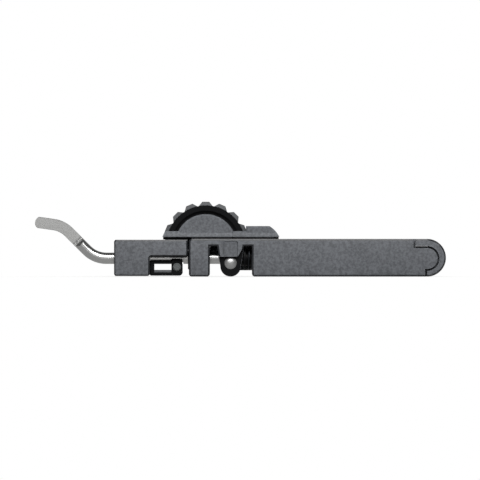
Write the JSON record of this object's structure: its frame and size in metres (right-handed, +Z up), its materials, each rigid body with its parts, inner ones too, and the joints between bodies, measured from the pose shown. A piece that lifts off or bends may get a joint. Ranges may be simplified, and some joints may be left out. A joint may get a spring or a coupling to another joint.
{
  "type": "cable stripping tool",
  "caption": "Pen-shaped cable stripping tool: sprung sliding head with a swivelling steel hook, thumbwheel that sets the blade depth, notched body and long handle.",
  "frame": {"origin": "under the middle of the tool, on the surface that its underside stands on", "axes": "+X along the tool from the hook to the handle's tail, +Z up through the thumbwheel, -Y the side that the picture shows"},
  "size_m": [0.1441, 0.0124, 0.0262],
  "materials": {
    "body_plastic": "fine moulded texture, dark grey",
    "black_plastic": "satin black",
    "stud_plastic": "satin grey",
    "bush_brass": "turned",
    "bright_steel": "ground and satin polished",
    "plain_steel": "plain",
    "spring_steel": "blackened wire",
    "screw_steel": "black oxide"
  },
  "bodies": {
    "body": {"front_shell": "body_plastic", "rear_shell": "body_plastic", "tail_bow": "body_plastic", "shell_screws": "screw_steel", "leg_bush": "bush_brass", "tongue_bush": "bush_brass", "stop_pin": "bright_steel", "pin_washer": "plain_steel", "pin_keeper": "body_plastic", "spring_washer": "black_plastic", "return_spring": "spring_steel", "wheel_axle": "plain_steel", "friction_washer": "plain_steel", "wheel_housing": "body_plastic", "wheel_housing_rear": "body_plastic", "thumb_rest": "body_plastic", "pin_seat": "black_plastic"},
    "head": {"head_front_shell": "body_plastic", "head_rear_shell": "body_plastic", "nose_bush": "bush_brass", "head_screws": "screw_steel", "guide_pins": "plain_steel", "clip_pin": "plain_steel"},
    "hook": {"hook_rod": "bright_steel", "spring_collar": "plain_steel", "collar_clip": "plain_steel"},
    "clip": {"retainer_clip": "black_plastic", "clip_stud": "stud_plastic"},
    "wheel": {"thumbwheel": "black_plastic"},
    "carrier": {"blade_carrier": "black_plastic", "cutting_blade": "screw_steel", "blade_rivet": "plain_steel"}
  },
  "joints": [
    {"name": "head_slide", "type": "slide", "parent": "body", "child": "head", "axis": [-1, 0, 0], "range_m": [0, 0.005], "stiffness_N_per_m": 400, "springref_m": -0.004, "deforming": ["return_spring"]},
    {"name": "hook_swivel", "type": "hinge", "parent": "head", "child": "hook", "pos_m": [-0.045, 0, 0.0064], "axis": [1, 0, 0], "continuous": true},
    {"name": "clip_release", "type": "hinge", "parent": "head", "child": "clip", "pos_m": [-0.0324, 0, 0.003], "axis": [0, 1, 0], "range_deg": [0, 5], "stiffness_Nm_per_rad": 0.4, "springref_deg": -1.72},
    {"name": "wheel_turn", "type": "hinge", "parent": "body", "child": "wheel", "pos_m": [-0.012, 0, 0.01113], "axis": [0, 1, 0], "range_deg": [0, 14]},
    {"name": "blade_depth", "type": "slide", "parent": "body", "child": "carrier", "axis": [0, 0, -1], "range_m": [0, 0.000855]}
  ],
  "couplings": [
    {"joint": "wheel_turn", "follows": "blade_depth", "rad_per_m": 285.71}
  ]
}
